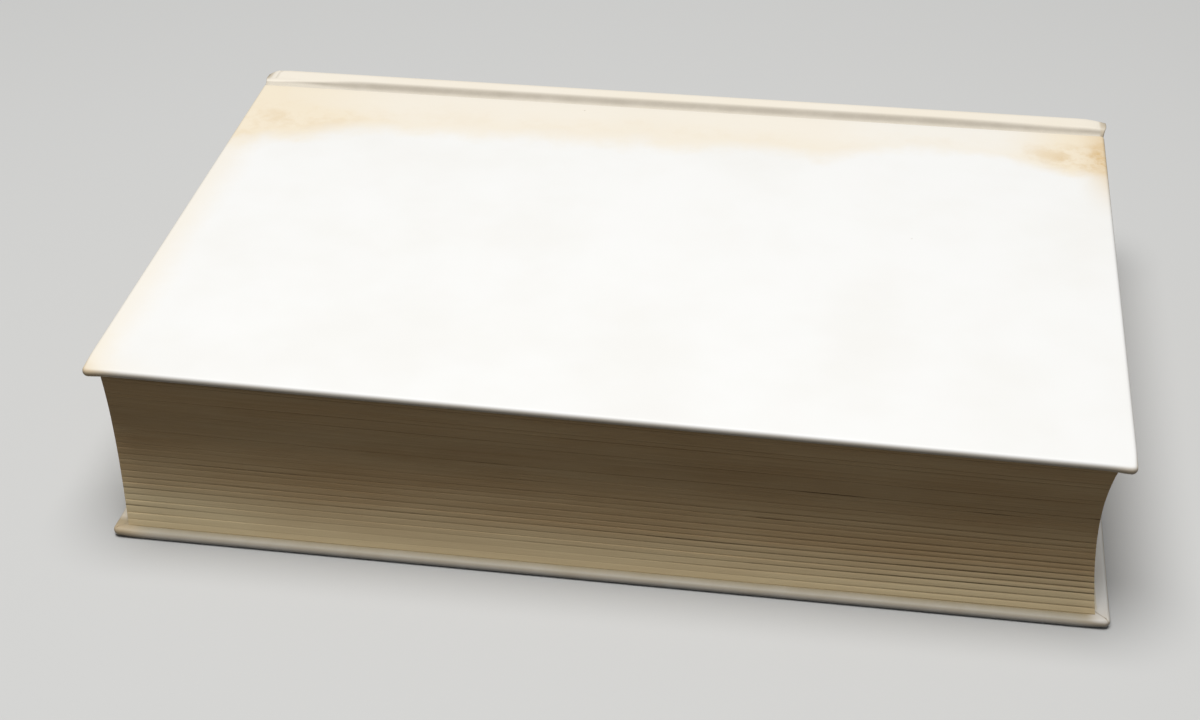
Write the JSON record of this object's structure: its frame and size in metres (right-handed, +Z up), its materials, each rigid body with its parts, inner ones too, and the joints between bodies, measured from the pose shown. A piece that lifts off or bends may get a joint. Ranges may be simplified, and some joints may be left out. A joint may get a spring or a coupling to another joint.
{
  "type": "hardback book",
  "caption": "Hardback book in a plain off-white covering, with rounded spine, grooved joints, hollow fore-edge and two covers that open.",
  "frame": {"origin": "on the table, under the middle of the closed book's box", "axes": "+X along the spine towards the head, +Y from the fore-edge to the spine, +Z up through the pages"},
  "size_m": [0.24, 0.165, 0.0494],
  "materials": {
    "covering": "matt off-white covering sheet, foxed along the joint",
    "pages": "cut page edges, toned cream",
    "endpaper": "plain uncoated paper",
    "greyboard": "bare greyboard",
    "card": "smooth card",
    "mull": "open glued gauze",
    "kraft": "kraft lining paper",
    "band": "woven cotton headband"
  },
  "bodies": {
    "book_block": {"text_block": "pages", "spine_mull": "mull", "spine_lining": "kraft", "head_band": "band", "tail_band": "band", "spine_inlay": "card", "spine_covering": "covering", "front_free_endpaper": "endpaper", "back_free_endpaper": "endpaper"},
    "front_cover": {"front_board": "greyboard", "front_covering": "covering", "front_mull_flap": "mull", "front_pastedown": "endpaper"},
    "back_cover": {"back_board": "greyboard", "back_covering": "covering", "back_mull_flap": "mull", "back_pastedown": "endpaper"}
  },
  "joints": [
    {"name": "front_cover_hinge", "type": "hinge", "parent": "book_block", "child": "front_cover", "pos_m": [0, 0.0731, 0.0494], "axis": [-1, 0, 0], "range_deg": [0, 175]},
    {"name": "back_cover_hinge", "type": "hinge", "parent": "book_block", "child": "back_cover", "pos_m": [0, 0.0731, 0], "axis": [1, 0, 0], "range_deg": [0, 175]}
  ]
}
